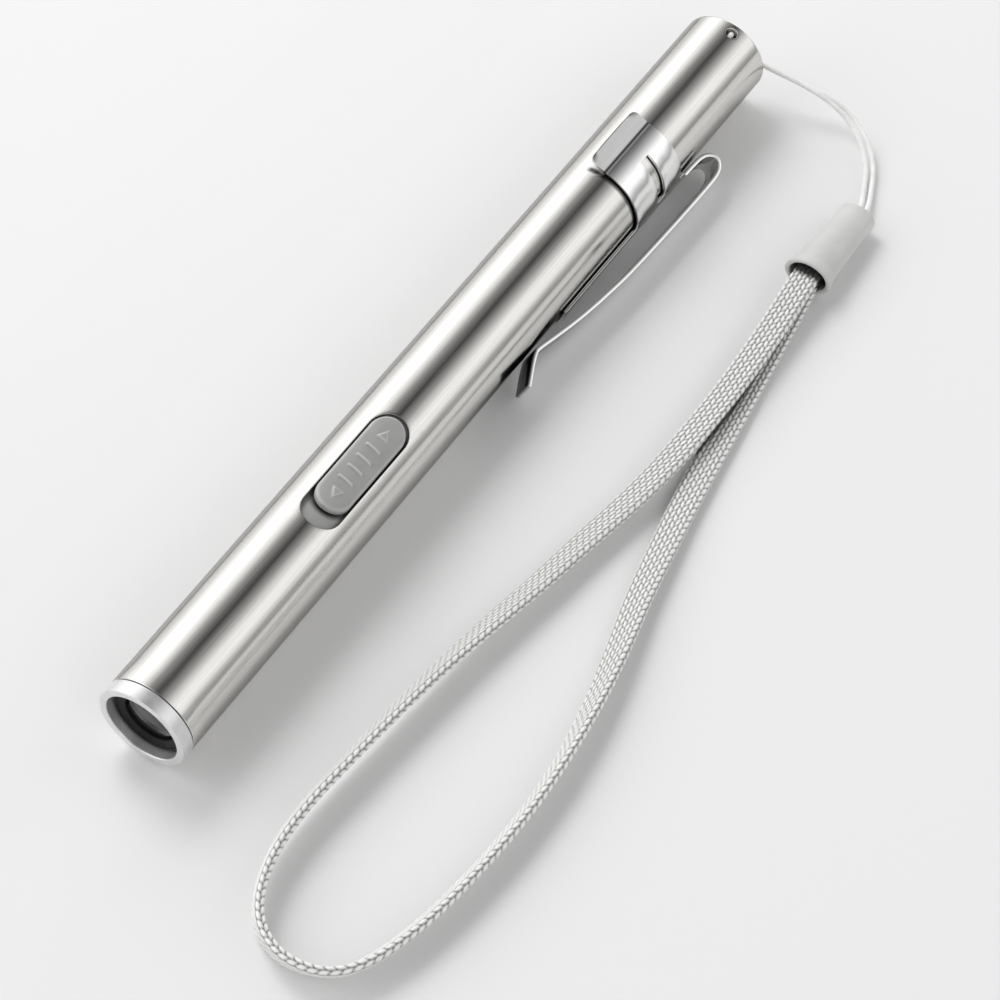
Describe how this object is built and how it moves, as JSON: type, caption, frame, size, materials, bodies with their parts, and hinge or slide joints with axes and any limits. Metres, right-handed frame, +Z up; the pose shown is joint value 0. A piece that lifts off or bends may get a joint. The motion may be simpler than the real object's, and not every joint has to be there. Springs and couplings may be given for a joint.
{
  "type": "pen torch",
  "caption": "Slim stainless pen torch with a thumb slide switch, a spring pocket clip on a C-shaped collar, and a flat woven wrist strap on a thin doubled string.",
  "frame": {"origin": "bottom centre of the torch's bounding box, without the string, ferrule and strap; the torch lies on its clip collar on the plane z = 0", "axes": "+X along the tube from the lens to the tail, +Z up from the table"},
  "size_m": [0.159, 0.0534, 0.0154],
  "materials": {
    "brushed_stainless": "fine brushed along the tube",
    "polished_ring": "polished",
    "spring_steel": "satin, slightly whiter than the tube",
    "grey_plastic": "satin moulded",
    "black_plastic": "satin moulded",
    "pale_plastic": "soft gloss",
    "lens_glass": "clear, dark from outside",
    "black_rubber": "matte",
    "brass": "plain",
    "reflector_mirror": "vacuum coated",
    "circuit_board": "solder mask",
    "led_phosphor": "phosphor",
    "cell_wrap": "printed wrap, left plain",
    "nylon_string": "thin translucent nylon",
    "woven_braid": "flat braid, silver white"
  },
  "bodies": {
    "barrel": {"barrel": "brushed_stainless", "switch_contact": "brass", "cell_front_can": "cell_wrap", "cell_front_cap": "spring_steel", "cell_rear_can": "cell_wrap", "cell_rear_cap": "spring_steel", "tail_spring": "spring_steel", "spring_plate": "brass", "tail_plug": "brushed_stainless", "clip_collar": "spring_steel", "lanyard_string_a": "nylon_string", "lanyard_string_b": "nylon_string", "ferrule": "pale_plastic", "wrist_strap": "woven_braid"},
    "head_module": {"reflector": "reflector_mirror", "led_emitter": "led_phosphor", "led_board": "circuit_board", "led_pill": "brass", "head_core": "black_plastic", "driver_board": "circuit_board", "front_contact": "brass"},
    "bezel": {"bezel_ring": "polished_ring", "lens_retainer": "black_plastic", "lens": "lens_glass", "lens_gasket": "black_rubber"},
    "switch": {"switch_button": "grey_plastic", "switch_carrier": "grey_plastic", "switch_wiper": "brass"},
    "clip_arm": {"clip_arm": "spring_steel"}
  },
  "joints": [
    {"name": "head_draw", "type": "slide", "parent": "barrel", "child": "head_module", "axis": [-1, 0, 0], "range_m": [0, 0.042]},
    {"name": "bezel_turn", "type": "hinge", "parent": "head_module", "child": "bezel", "pos_m": [-0.07, 0.00179, 0.0071], "axis": [1, 0, 0], "continuous": true},
    {"name": "switch_slide", "type": "slide", "parent": "barrel", "child": "switch", "axis": [-1, 0, 0], "range_m": [0, 0.0026]},
    {"name": "clip_flex", "type": "hinge", "parent": "barrel", "child": "clip_arm", "pos_m": [0.0489, -0.00436, 0.00397], "axis": [0, -0.454, 0.891], "range_deg": [0, 7], "stiffness_Nm_per_rad": 1.5, "springref_deg": -4.01}
  ]
}
